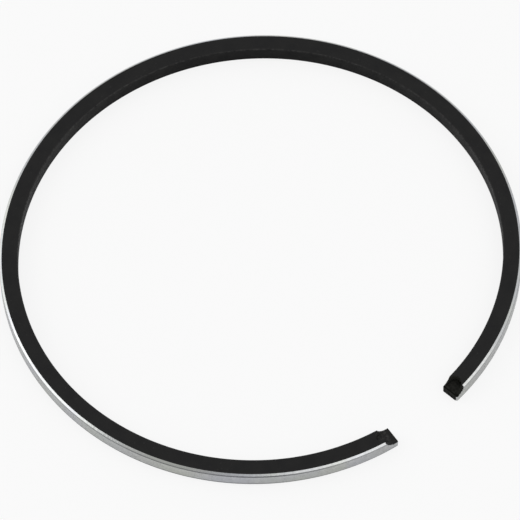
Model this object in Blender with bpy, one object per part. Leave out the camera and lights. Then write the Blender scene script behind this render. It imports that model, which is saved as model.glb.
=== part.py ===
"""Compression ring of a small two-stroke piston, modelled in its free shape.

The ring is one casting: a band of rectangular section, split at one place, coated black and plated
with chrome on its running face. Off the piston it springs open, so its middle line is no circle. It
is the closed circle with a share of its curvature taken out, most at the back and least at the ends.
Each end has a seat cut into its upper flank: a round trough across the wall, and a slot with a round
end in its middle. With the ring closed, the two seats meet under the pin that keeps the ring from
turning.

Units are metres and +Z is up. The ring lies on its lower flank with its back at +Y and its joint at
-Y, and the origin is below the middle of its outline.
"""

import math

import bmesh
import bpy
from mathutils import Matrix, Vector

MM = 0.001

# Driving dimensions of the ring closed to its bore
BORE = 44.0 * MM
AXIAL_HEIGHT = 1.5 * MM
RADIAL_WALL = 1.65 * MM
CLOSED_GAP = 0.35 * MM

# Free shape: distance between the ends, and how strongly the opening gathers at the back
FREE_GAP = 6.6 * MM
BACK_BIAS = 0.707

# Running face: height of its barrel, and its two ground edges
FACE_CROWN = 0.01 * MM
CHROME_EDGE_WIDTH = 0.205 * MM
CHROME_EDGE_ROUND = 0.12 * MM
CHROME_EDGE_SLOPE = math.radians(35.0)

# Broken edges of the bore side, edges of the two end faces, and their rounder corner at the plating
INNER_EDGE_BREAK = 0.06 * MM
TIP_ROUND = 0.04 * MM
CORNER_ROUND = 0.12 * MM

# Pin seat: radius of its trough, metal left under it, and its shift towards the left end
SEAT_RADIUS = 1.16 * MM
TIP_THICKNESS = 0.79 * MM
SEAT_OFFSET = 0.15 * MM

# Slot in the seat: half its width, reach from the trough's middle, shift towards the bore, and metal
# left under it
SLOT_RADIUS = 0.58 * MM
SLOT_REACH = 1.51 * MM
SLOT_OFFSET = 0.12 * MM
SLOT_THICKNESS = 0.82 * MM

# Fineness of the mesh
BODY_STEPS = 180
FACE_STEPS = 4
EDGE_STEPS = 4
TIP_STEPS = 6
SEAT_STEPS = 48
SLOT_STEPS = 16
SHARP_ANGLE = math.radians(19.0)

# How far a cutter reaches past the wall, and the rounds of correction that find the free gap
CUTTER_REACH = 0.2 * MM
GAP_ROUNDS = 12

BLACK, CHROME = 0, 1


def clear_scene():
    """Empty the scene that the script starts in."""
    for item in list(bpy.data.objects):
        bpy.data.objects.remove(item, do_unlink=True)


def finish(name, colour, roughness, metallic):
    """A plain surface finish."""
    material = bpy.data.materials.new(name)
    material.use_nodes = True
    shader = material.node_tree.nodes["Principled BSDF"]
    shader.inputs["Base Color"].default_value = (*colour, 1.0)
    shader.inputs["Roughness"].default_value = roughness
    shader.inputs["Metallic"].default_value = metallic
    material.diffuse_color = (*colour, 1.0)
    return material


def middle_radius():
    """Radius of the wall's middle line with the ring closed."""
    return 0.5 * (BORE - RADIAL_WALL)


def outward(angle, opening):
    """Outward direction of the free ring at an angle from its back, measured on the closed ring."""
    turned = angle - opening * (angle + BACK_BIAS * math.sin(angle))
    return Vector((-math.sin(turned), math.cos(turned), 0.0))


def along(direction):
    """Direction along the ring, from the right end round the back to the left end."""
    return Vector((-direction.y, direction.x, 0.0))


def free_line(opening, angles):
    """Middle line of the free ring: a point and the outward direction at each angle."""
    line = []
    point = Vector((0.0, 0.0, 0.0))
    last = angles[0]
    for angle in angles:
        heading = along(outward(0.5 * (last + angle), opening))
        point = point + heading * middle_radius() * (angle - last)
        line.append((point, outward(angle, opening)))
        last = angle
    return line


def half_angle():
    """Angle from the back to either end face."""
    return math.pi - 0.5 * CLOSED_GAP / middle_radius()


def station_angles():
    """Angles of the ring's sections: even along the body, closer where the end faces are rounded."""
    body_half = half_angle() - max(TIP_ROUND, CORNER_ROUND) / middle_radius()
    body = [body_half * (2.0 * step / BODY_STEPS - 1.0) for step in range(BODY_STEPS + 1)]
    tip = []
    for step in range(1, TIP_STEPS + 1):
        share = math.sin(0.5 * math.pi * step / TIP_STEPS)
        tip.append(body_half + (half_angle() - body_half) * share)
    return [-angle for angle in reversed(tip)] + body + tip


def opening_for_gap(angles):
    """Share of the curvature to take out so that the end faces stand FREE_GAP apart."""
    gap_per_opening = math.pi * middle_radius() * (2.0 + BACK_BIAS)
    opening = 0.0
    for _ in range(GAP_ROUNDS):
        line = free_line(opening, angles)
        gap = (line[-1][0] - line[0][0]).length
        opening += (FREE_GAP - gap) / gap_per_opening
    return opening


def chrome_edge():
    """Ground edge of the plating as (inset from the face, depth below the flank), flank first."""
    turn = 0.5 * math.pi - CHROME_EDGE_SLOPE
    radius = min(CHROME_EDGE_ROUND, CHROME_EDGE_WIDTH / (1.0 - math.cos(turn)))
    bevel_width = CHROME_EDGE_WIDTH - radius * (1.0 - math.cos(turn))
    bevel_drop = bevel_width * math.tan(CHROME_EDGE_SLOPE)
    points = [(CHROME_EDGE_WIDTH, 0.0)]
    for step in range(EDGE_STEPS + 1):
        angle = turn * (1.0 - step / EDGE_STEPS)
        depth = bevel_drop + radius * (math.sin(turn) - math.sin(angle))
        points.append((radius * (1.0 - math.cos(angle)), depth))
    return points


def barrel_face(base, low, high):
    """Points of the slightly barrelled running face between its two edges."""
    middle, half = 0.5 * (low + high), 0.5 * (high - low)
    points = []
    for step in range(1, FACE_STEPS):
        level = 2.0 * step / FACE_STEPS - 1.0
        points.append((base + FACE_CROWN * (1.0 - level**2), middle + half * level))
    return points


def ring_section():
    """Section of the wall as (outward, up) points from its middle line, and its plated points."""
    base = 0.5 * RADIAL_WALL - FACE_CROWN
    edge = chrome_edge()
    lower = [(base - inset, depth) for inset, depth in edge]
    upper = [(base - inset, AXIAL_HEIGHT - depth) for inset, depth in reversed(edge)]
    plated = lower + barrel_face(base, lower[-1][1], upper[0][1]) + upper
    bore = -0.5 * RADIAL_WALL
    inner = [
        (bore + INNER_EDGE_BREAK, AXIAL_HEIGHT),
        (bore, AXIAL_HEIGHT - INNER_EDGE_BREAK),
        (bore, INNER_EDGE_BREAK),
        (bore + INNER_EDGE_BREAK, 0.0),
    ]
    return plated + inner, len(plated)


def tip_inset(angle, radius):
    """How far the section draws in at an angle, so that an end face's edge has this radius."""
    from_tip = (half_angle() - abs(angle)) * middle_radius()
    if from_tip >= radius:
        return 0.0
    rise = 1.0 - from_tip / radius
    return radius * (1.0 - math.sqrt(max(0.0, 1.0 - rise**2)))


def place_section(section, point, direction, angle):
    """The section's points in space, drawn in where the edges of the end face are round."""
    edge, corner = tip_inset(angle, TIP_ROUND), tip_inset(angle, CORNER_ROUND)
    middle = 0.5 * AXIAL_HEIGHT
    placed = []
    for across, height in section:
        inset = corner if across > 0.0 else edge
        spot = point + direction * across * (1.0 - inset / (0.5 * RADIAL_WALL))
        spot.z = middle + (height - middle) * (1.0 - edge / middle)
        placed.append(spot)
    return placed


def sweep_ring(line, angles):
    """Mesh of the ring before its seats are cut: the section swept along the middle line."""
    section, plated_count = ring_section()
    shape = bmesh.new()
    rows = []
    for (point, direction), angle in zip(line, angles):
        spots = place_section(section, point, direction, angle)
        rows.append([shape.verts.new(spot) for spot in spots])
    for row, next_row in zip(rows, rows[1:]):
        for index in range(len(section)):
            after = (index + 1) % len(section)
            face = shape.faces.new((row[index], row[after], next_row[after], next_row[index]))
            face.material_index = CHROME if index < plated_count - 1 else BLACK
    for row in (rows[0], rows[-1]):
        shape.faces.new(row).material_index = BLACK
    bmesh.ops.recalc_face_normals(shape, faces=shape.faces)
    mesh = bpy.data.meshes.new("piston_ring")
    shape.to_mesh(mesh)
    shape.free()
    return mesh


def seat_middle(tip, direction):
    """Point on the ring's middle line at which a trough is deepest."""
    return tip - along(direction) * SEAT_OFFSET


def new_cutter(name, shape):
    """Object of a cutter, which is hidden in renders."""
    bmesh.ops.recalc_face_normals(shape, faces=shape.faces)
    mesh = bpy.data.meshes.new(name)
    shape.to_mesh(mesh)
    shape.free()
    cutter = bpy.data.objects.new(name, mesh)
    cutter.hide_render = True
    cutter.display_type = "WIRE"
    bpy.context.collection.objects.link(cutter)
    return cutter


def join_sides(shape, first, second):
    """Close a cutter between two outlines with the same number of points."""
    low = [shape.verts.new(point) for point in first]
    high = [shape.verts.new(point) for point in second]
    for index in range(len(low)):
        after = (index + 1) % len(low)
        shape.faces.new((low[index], low[after], high[after], high[index]))
    shape.faces.new(low)
    shape.faces.new(high)


def trough_cutter(name, middle, direction):
    """Wheel that grinds a trough: its axis lies across the wall."""
    centre = middle.copy()
    centre.z = TIP_THICKNESS + SEAT_RADIUS
    across = direction * (0.5 * RADIAL_WALL + CUTTER_REACH)
    up = Vector((0.0, 0.0, 1.0))
    rim = []
    for step in range(SEAT_STEPS):
        angle = 2.0 * math.pi * step / SEAT_STEPS
        spoke = along(direction) * math.cos(angle) + up * math.sin(angle)
        rim.append(centre + spoke * SEAT_RADIUS)
    shape = bmesh.new()
    join_sides(shape, [point - across for point in rim], [point + across for point in rim])
    return new_cutter(name, shape)


def slot_cutter(name, middle, direction, towards_body):
    """Upright block with a round end that cuts a slot, from past the end face into the trough's side."""
    centre = middle + towards_body * (SLOT_REACH - SLOT_RADIUS) - direction * SLOT_OFFSET
    back = centre - towards_body * (SLOT_REACH + CUTTER_REACH)
    outline = [back - direction * SLOT_RADIUS]
    for step in range(SLOT_STEPS + 1):
        angle = math.pi * (step / SLOT_STEPS - 0.5)
        spoke = towards_body * math.cos(angle) + direction * math.sin(angle)
        outline.append(centre + spoke * SLOT_RADIUS)
    outline.append(back + direction * SLOT_RADIUS)
    floor = Vector((0.0, 0.0, SLOT_THICKNESS))
    top = Vector((0.0, 0.0, AXIAL_HEIGHT + CUTTER_REACH))
    shape = bmesh.new()
    join_sides(shape, [point + floor for point in outline], [point + top for point in outline])
    return new_cutter(name, shape)


def cut(ring, cutter):
    """Take the cutter's volume out of the ring and remove the cutter."""
    taken = ring.modifiers.new(cutter.name, "BOOLEAN")
    taken.operation = "DIFFERENCE"
    taken.solver = "EXACT"
    taken.object = cutter
    graph = bpy.context.evaluated_depsgraph_get()
    mesh = bpy.data.meshes.new_from_object(ring.evaluated_get(graph))
    ring.modifiers.clear()
    ring.data = mesh
    bpy.data.objects.remove(cutter, do_unlink=True)


def centre_on_outline(mesh):
    """Move the mesh so that the origin lies below the middle of its outline."""
    middle = []
    for axis in range(2):
        places = [vertex.co[axis] for vertex in mesh.vertices]
        middle.append(0.5 * (min(places) + max(places)))
    mesh.transform(Matrix.Translation((-middle[0], -middle[1], 0.0)))


def build_ring():
    """The whole ring: swept in its free shape, with a pin seat cut at each end."""
    angles = station_angles()
    line = free_line(opening_for_gap(angles), angles)
    mesh = sweep_ring(line, angles)
    mesh.materials.append(finish("black_phosphate", (0.018, 0.018, 0.019), 0.5, 0.3))
    mesh.materials.append(finish("ground_chrome", (0.60, 0.60, 0.59), 0.3, 1.0))
    ring = bpy.data.objects.new("piston_ring", mesh)
    bpy.context.collection.objects.link(ring)
    for name, (tip, direction), side in (("right", line[0], 1.0), ("left", line[-1], -1.0)):
        middle = seat_middle(tip, direction)
        cut(ring, trough_cutter(name + "_trough", middle, direction))
        cut(ring, slot_cutter(name + "_slot", middle, direction, along(direction) * side))
    centre_on_outline(ring.data)
    ring.data.name = "piston_ring"
    ring.data.shade_smooth()
    ring.data.set_sharp_from_angle(angle=SHARP_ANGLE)
    return ring


def main():
    """Build the ring in an empty scene."""
    clear_scene()
    build_ring()


main()
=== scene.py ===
"""Looks of a small engine's compression ring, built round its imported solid.

The ring is bent from a straight bar: its wall's section runs along the middle line of the free,
sprung-open ring. Near both ends the troughs of the pin seats are lowered into its upper flank and
their slots are cut. The flanks, the bore side, the ends and the seats are black phosphate. The running
face and its two edges are ground chrome. Units are metres and +Z is up. The ring lies on its lower
flank, with its back at +Y.
"""

import logging
import math
from dataclasses import dataclass
from enum import Enum

import bpy
from mathutils import Matrix, Vector


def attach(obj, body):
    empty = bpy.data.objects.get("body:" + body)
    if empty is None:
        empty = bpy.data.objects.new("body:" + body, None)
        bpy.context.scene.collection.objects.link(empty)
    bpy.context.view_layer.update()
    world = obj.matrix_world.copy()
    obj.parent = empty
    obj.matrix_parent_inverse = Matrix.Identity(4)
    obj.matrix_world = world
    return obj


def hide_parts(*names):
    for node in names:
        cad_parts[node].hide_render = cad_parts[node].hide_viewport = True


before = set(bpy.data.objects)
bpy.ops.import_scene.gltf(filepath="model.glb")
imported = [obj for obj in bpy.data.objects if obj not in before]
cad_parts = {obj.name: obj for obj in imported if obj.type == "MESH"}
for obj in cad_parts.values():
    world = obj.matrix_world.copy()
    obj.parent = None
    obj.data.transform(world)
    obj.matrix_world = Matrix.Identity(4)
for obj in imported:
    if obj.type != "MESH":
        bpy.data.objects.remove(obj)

MM = 0.001
QUARTER_TURN = 0.5 * math.pi
NODE = "piston_ring"
BODY = "root"
IMAGE_SIDE = 520
LOG = logging.getLogger("ring")

Socket = bpy.types.NodeSocket
Tree = bpy.types.NodeTree
Material = bpy.types.Material
Value = float | int | bool | str | tuple | bpy.types.ID | Socket
Inputs = dict[str | int, Value]
Colour = tuple[float, float, float]


class Surface(Enum):
    """Which finish a stretch of the wall's section has."""

    BLACK = 0.0
    PLATED = 1.0


class Attribute(Enum):
    """Names of the values that the ring's mesh carries for its finishes."""

    ARC = "arc"
    ACROSS = "across"
    GIRTH = "girth"
    PLATED = "plated"
    EDGE = "edge"
    SEAT = "seat"
    UV = "UVMap"


def between(start: float, stop: float, count: int) -> list[float]:
    """The values inside a range that is cut into this many even steps."""
    return [start + (stop - start) * step / count for step in range(1, count)]


def linked(name: str, data: bpy.types.ID) -> bpy.types.Object:
    """A new object of this name with this data, linked to the scene.

    Args:
        name: The object's name.
        data: Its mesh, lamp or camera.

    Returns:
        The object.
    """
    item = bpy.data.objects.new(name, data)
    bpy.context.scene.collection.objects.link(item)
    return item


class Graph:
    """Adds nodes to a tree and wires them, so that a tree reads as a list of steps."""

    def __init__(self, tree: Tree) -> None:
        """Start on a tree that may already hold nodes."""
        self.tree = tree

    def add(self, kind: str, inputs: Inputs | None = None, **settings: Value) -> bpy.types.Node:
        """Add a node.

        Args:
            kind: Blender's name for the node's type.
            inputs: Values or sockets for the node's inputs, by name or place.
            **settings: The node's own properties.

        Returns:
            The new node.
        """
        node = self.tree.nodes.new(kind)
        for name, value in settings.items():
            setattr(node, name, value)
        for key, value in (inputs or {}).items():
            self.feed(node.inputs[key], value)
        return node

    def out(self, kind: str, inputs: Inputs | None = None, **settings: Value) -> Socket:
        """Add a node, as add does, and hand out its first output."""
        return self.add(kind, inputs, **settings).outputs[0]

    def feed(self, socket: Socket, value: Value) -> None:
        """Link a socket to another, or set its value.

        Args:
            socket: The input to feed.
            value: What to feed it.
        """
        if isinstance(value, Socket):
            self.tree.links.new(value, socket)
        else:
            socket.default_value = value

    def math(self, operation: str, *terms: Value) -> Socket:
        """The result of a sum of this name with these terms, which are numbers or sockets."""
        return self.out("ShaderNodeMath", dict(enumerate(terms)), operation=operation)

    def vector(self, x: Value, y: Value, z: Value) -> Socket:
        """Put three numbers together as a vector."""
        return self.out("ShaderNodeCombineXYZ", {0: x, 1: y, 2: z})

    def split(self, vector: Value) -> bpy.types.NodeOutputs:
        """Take a vector apart into its three numbers."""
        return self.add("ShaderNodeSeparateXYZ", {0: vector}).outputs

    def carried(self, attribute: Attribute) -> Socket:
        """In a material, a value that the mesh carries."""
        return self.add("ShaderNodeAttribute", attribute_name=attribute.value).outputs["Fac"]

    def mix(self, share: Value, low: Value, high: Value) -> Socket:
        """Mix this share of the second colour into the first."""
        return self.add("ShaderNodeMix", {0: share, 6: low, 7: high}, data_type="RGBA").outputs[2]

    def remap(
        self, value: Value, low: Value, high: Value, to_low: float = 0.0, to_high: float = 1.0
    ) -> Socket:
        """Stretch a range of numbers onto another one.

        Args:
            value: The number or socket to change.
            low: Where the range starts.
            high: Where the range ends.
            to_low: What its start becomes.
            to_high: What its end becomes.

        Returns:
            The socket with the new number, held within the new range.
        """
        terms = {0: value, 1: low, 2: high, 3: to_low, 4: to_high}
        return self.out("ShaderNodeMapRange", terms, clamp=True)


def new_group(name: str, kind: str, inputs: dict[str, tuple[str, Value]], outputs: dict[str, str]) -> Graph:
    """Start a node group with named sockets.

    Args:
        name: The group's name.
        kind: Blender's name for the tree's type.
        inputs: Socket kind and starting value of each input, by its name.
        outputs: Socket kind of each output, by its name.

    Returns:
        The graph of the new group.
    """
    tree = bpy.data.node_groups.new(name, kind)
    for label, (socket_kind, start) in inputs.items():
        socket = tree.interface.new_socket(label, in_out="INPUT", socket_type=socket_kind)
        if start is not None:
            socket.default_value = start
    for label, socket_kind in outputs.items():
        tree.interface.new_socket(label, in_out="OUTPUT", socket_type=socket_kind)
    return Graph(tree)


@dataclass(frozen=True)
class ClosedRing:
    """The ring squeezed shut to its bore.

    Attributes:
        bore: Diameter of the cylinder that it seals.
        wall: Distance from its bore side to its running face.
        gap: Distance left between its ends.
        height: Distance between its flanks.
    """

    bore: float = 44.0 * MM
    wall: float = 1.65 * MM
    gap: float = 0.35 * MM
    height: float = 1.5 * MM

    @property
    def radius(self) -> float:
        """Radius of the wall's middle line."""
        return 0.5 * (self.bore - self.wall)

    @property
    def half_length(self) -> float:
        """Length of the middle line from the back to either end."""
        return math.pi * self.radius - 0.5 * self.gap


@dataclass(frozen=True)
class FreeShape:
    """How far and where the ring springs open.

    Attributes:
        gap: Distance between the ends of the free ring.
        back_bias: How strongly the opening gathers at the back.
        rounds: Rounds of correction that find the opening.
        steps: Steps in which half the ring is added up.
    """

    gap: float = 6.6 * MM
    back_bias: float = 0.707
    rounds: int = 12
    steps: int = 720

    def ends_apart(self, closed: ClosedRing, opening: float) -> float:
        """Distance between the ends.

        Args:
            closed: The closed ring.
            opening: Share of its curvature that is taken out.

        Returns:
            The distance along the chord between the two ends of the middle line.
        """
        width = closed.half_length / closed.radius / self.steps
        total = 0.0
        for step in range(self.steps):
            angle = (step + 0.5) * width
            total += math.cos(angle - opening * (angle + self.back_bias * math.sin(angle)))
        return 2.0 * closed.radius * width * total

    def opening(self, closed: ClosedRing) -> float:
        """Share of the closed ring's curvature to take out so that its ends stand the gap apart.

        Args:
            closed: The closed ring.

        Returns:
            The share.
        """
        per_share = math.pi * closed.radius * (2.0 + self.back_bias)
        share = 0.0
        for _ in range(self.rounds):
            share += (self.gap - self.ends_apart(closed, share)) / per_share
        return share


@dataclass(frozen=True)
class SectionPoint:
    """A point of the wall's section.

    Attributes:
        across: Its place from the middle line, outwards.
        up: Its height above the lower flank.
        surface: The finish that it has.
        edge: How much of an edge it is, from 0 on a flat to 1 on a rounded edge.
    """

    across: float
    up: float
    surface: Surface
    edge: float = 0.0


@dataclass(frozen=True)
class WallSection:
    """Section of the wall, with its plated running face and its broken edges.

    Attributes:
        plated_width: Width of the bright ground edge, from the running face inwards.
        plated_slope: Fall of that edge towards the running face.
        plated_round: Radius between that edge and the running face.
        edge_break: Radius of the two edges on the bore side.
        arc_steps: Steps in each plated rounding.
        face_steps: Steps up the running face.
        break_steps: Steps in each broken edge.
        flank_steps: Steps across each flank.
        bore_steps: Steps up the bore side.
        border_edge: How exposed the black coat is where it meets the plating.
    """

    plated_width: float = 0.205 * MM
    plated_slope: float = math.radians(35.0)
    plated_round: float = 0.10 * MM
    edge_break: float = 0.06 * MM
    arc_steps: int = 8
    face_steps: int = 8
    break_steps: int = 4
    flank_steps: int = 24
    bore_steps: int = 12
    border_edge: float = 0.5

    def plated_edge(self) -> list[tuple[float, float]]:
        """The ground edge as (inset from the running face, depth below the flank), flank first.

        Returns:
            The points of the edge, with both distances of each.
        """
        turn = QUARTER_TURN - self.plated_slope
        bevel = self.plated_width - self.plated_round * (1.0 - math.cos(turn))
        drop = bevel * math.tan(self.plated_slope)
        points = [(self.plated_width, 0.0)]
        for step in range(self.arc_steps + 1):
            angle = turn * (1.0 - step / self.arc_steps)
            inset = self.plated_round * (1.0 - math.cos(angle))
            points.append((inset, drop + self.plated_round * (math.sin(turn) - math.sin(angle))))
        return points

    def running_side(self, closed: ClosedRing) -> list[SectionPoint]:
        """Points of the plated side, from the lower flank to the upper one.

        Args:
            closed: The closed ring.

        Returns:
            The points.
        """
        face = 0.5 * closed.wall
        edge = self.plated_edge()
        low = edge[-1][1]
        points = [(face - inset, depth) for inset, depth in edge]
        points += [(face, up) for up in between(low, closed.height - low, self.face_steps)]
        points += [(face - inset, closed.height - depth) for inset, depth in reversed(edge)]
        return [SectionPoint(across, up, Surface.PLATED) for across, up in points]

    def flank(self, closed: ClosedRing, up: float) -> list[SectionPoint]:
        """Points across a flank at this height, from the plated edge to the bore side.

        Args:
            closed: The closed ring.
            up: Height of the flank.

        Returns:
            The points.
        """
        outer = 0.5 * closed.wall - self.plated_width
        inner = self.edge_break - 0.5 * closed.wall
        points = []
        for across in between(outer, inner, self.flank_steps):
            edge = 0.0 if points else self.border_edge
            points.append(SectionPoint(across, up, Surface.BLACK, edge))
        return points

    def broken_edge(self, closed: ClosedRing, up: float, start: float) -> list[SectionPoint]:
        """Points of a rounding on the bore side.

        Args:
            closed: The closed ring.
            up: Height of the rounding's middle.
            start: Angle of its first point.

        Returns:
            The points of a quarter circle.
        """
        middle = self.edge_break - 0.5 * closed.wall
        points = []
        for step in range(self.break_steps + 1):
            angle = start + QUARTER_TURN * step / self.break_steps
            across = middle + self.edge_break * math.cos(angle)
            rise = self.edge_break * math.sin(angle)
            points.append(SectionPoint(across, up + rise, Surface.BLACK, 1.0))
        return points

    def bore_side(self, closed: ClosedRing) -> list[SectionPoint]:
        """Points of the bore side with its two broken edges, from the upper flank to the lower one.

        Args:
            closed: The closed ring.

        Returns:
            The points.
        """
        top, bottom = closed.height - self.edge_break, self.edge_break
        points = self.broken_edge(closed, top, QUARTER_TURN)
        for up in between(top, bottom, self.bore_steps):
            points.append(SectionPoint(-0.5 * closed.wall, up, Surface.BLACK))
        return points + self.broken_edge(closed, bottom, math.pi)

    def outline(self, closed: ClosedRing) -> list[SectionPoint]:
        """The whole section, going round from the lower flank's plated edge."""
        upper, lower = self.flank(closed, closed.height), self.flank(closed, 0.0)
        return self.running_side(closed) + upper + self.bore_side(closed) + lower[::-1]


@dataclass(frozen=True)
class PinSeats:
    """The seats in the upper flank under the locating pin, each a trough with a round-ended slot in it.

    Attributes:
        radius: Radius of the trough, which runs across the wall.
        tongue: Metal left under the trough.
        shift: How far both seats lie towards the ring's left end.
        slot_radius: Half the width of the slot, and the radius of its round end.
        slot_reach: How far the slot reaches from the trough's middle into the body.
        slot_shift: How far the slot lies towards the bore.
        slot_floor: Metal left under the slot.
        rim: Rounding of the trough's rim.
        step: Length of a step of the mesh along a seat.
    """

    radius: float = 1.16 * MM
    tongue: float = 0.79 * MM
    shift: float = 0.15 * MM
    slot_radius: float = 0.58 * MM
    slot_reach: float = 1.51 * MM
    slot_shift: float = 0.12 * MM
    slot_floor: float = 0.82 * MM
    rim: float = 0.04 * MM
    step: float = 0.03 * MM

    @property
    def axis_up(self) -> float:
        """Height of the trough's axis."""
        return self.tongue + self.radius

    @property
    def slot_middle(self) -> float:
        """Distance of the middle of the slot's round end from the trough's middle."""
        return self.slot_reach - self.slot_radius


@dataclass(frozen=True)
class Ends:
    """The two end faces and the fineness of the mesh along the ring.

    Attributes:
        rounding: Radius of the edges of the end faces.
        corner: Radius of the upright edge between an end face and the running face.
        corner_steps: Steps in that rounder edge.
        body_step: Length of a step along the rest of the ring.
    """

    rounding: float = 0.04 * MM
    corner: float = 0.12 * MM
    corner_steps: int = 12
    body_step: float = 0.5 * MM

    def end_places(self, seats: PinSeats, middle: float) -> list[float]:
        """Places of the sections near one end, as distances from it.

        Args:
            seats: The seat that lies there.
            middle: Distance of the seat's middle from the end, negative past it.

        Returns:
            Distances from the end, from 0 up, close together where the shape turns quickly.
        """
        places = []
        for step in range(self.corner_steps + 1):
            turn = QUARTER_TURN * step / self.corner_steps
            places.append(self.corner * (1.0 - math.cos(turn)))
        stop = middle + seats.slot_reach
        count = math.ceil((stop - self.corner) / seats.step)
        places += [self.corner + (stop - self.corner) * step / count for step in range(1, count + 1)]
        return places

    def stations(self, closed: ClosedRing, seats: PinSeats) -> list[float]:
        """Places of all the sections along the ring, from the right end, with 0 at the back.

        Args:
            closed: The closed ring.
            seats: Its pin seats.

        Returns:
            The places.
        """
        right = self.end_places(seats, -seats.shift)
        left = self.end_places(seats, seats.shift)
        start = right[-1] - closed.half_length
        stop = closed.half_length - left[-1]
        count = round((stop - start) / self.body_step)
        near_right = [place - closed.half_length for place in right]
        near_left = [closed.half_length - place for place in reversed(left)]
        return near_right + between(start, stop, count) + near_left


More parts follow.
